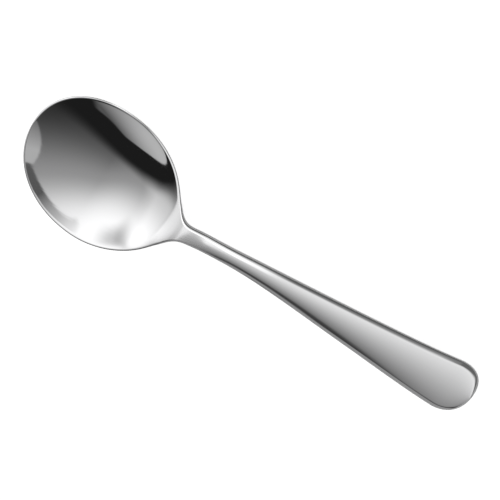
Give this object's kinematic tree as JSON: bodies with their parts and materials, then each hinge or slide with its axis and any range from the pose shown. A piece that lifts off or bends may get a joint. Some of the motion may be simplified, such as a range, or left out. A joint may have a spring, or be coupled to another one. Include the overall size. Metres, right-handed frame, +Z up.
{
  "type": "soup spoon",
  "caption": "Round-bowl soup spoon in mirror-polished stainless steel: shallow pressed bowl, narrow oval neck and a plain handle that widens to a rounded end.",
  "frame": {"origin": "on the table plane that the spoon lies on, under the middle of its length", "axes": "+X from the bowl tip to the handle end, +Z up out of the bowl, the spoon is symmetric about the XZ plane"},
  "size_m": [0.17, 0.048, 0.0141],
  "materials": {
    "polished_steel": "mirror polished"
  },
  "bodies": {
    "root": {"bowl": "polished_steel", "neck": "polished_steel", "handle": "polished_steel"}
  },
  "joints": []
}
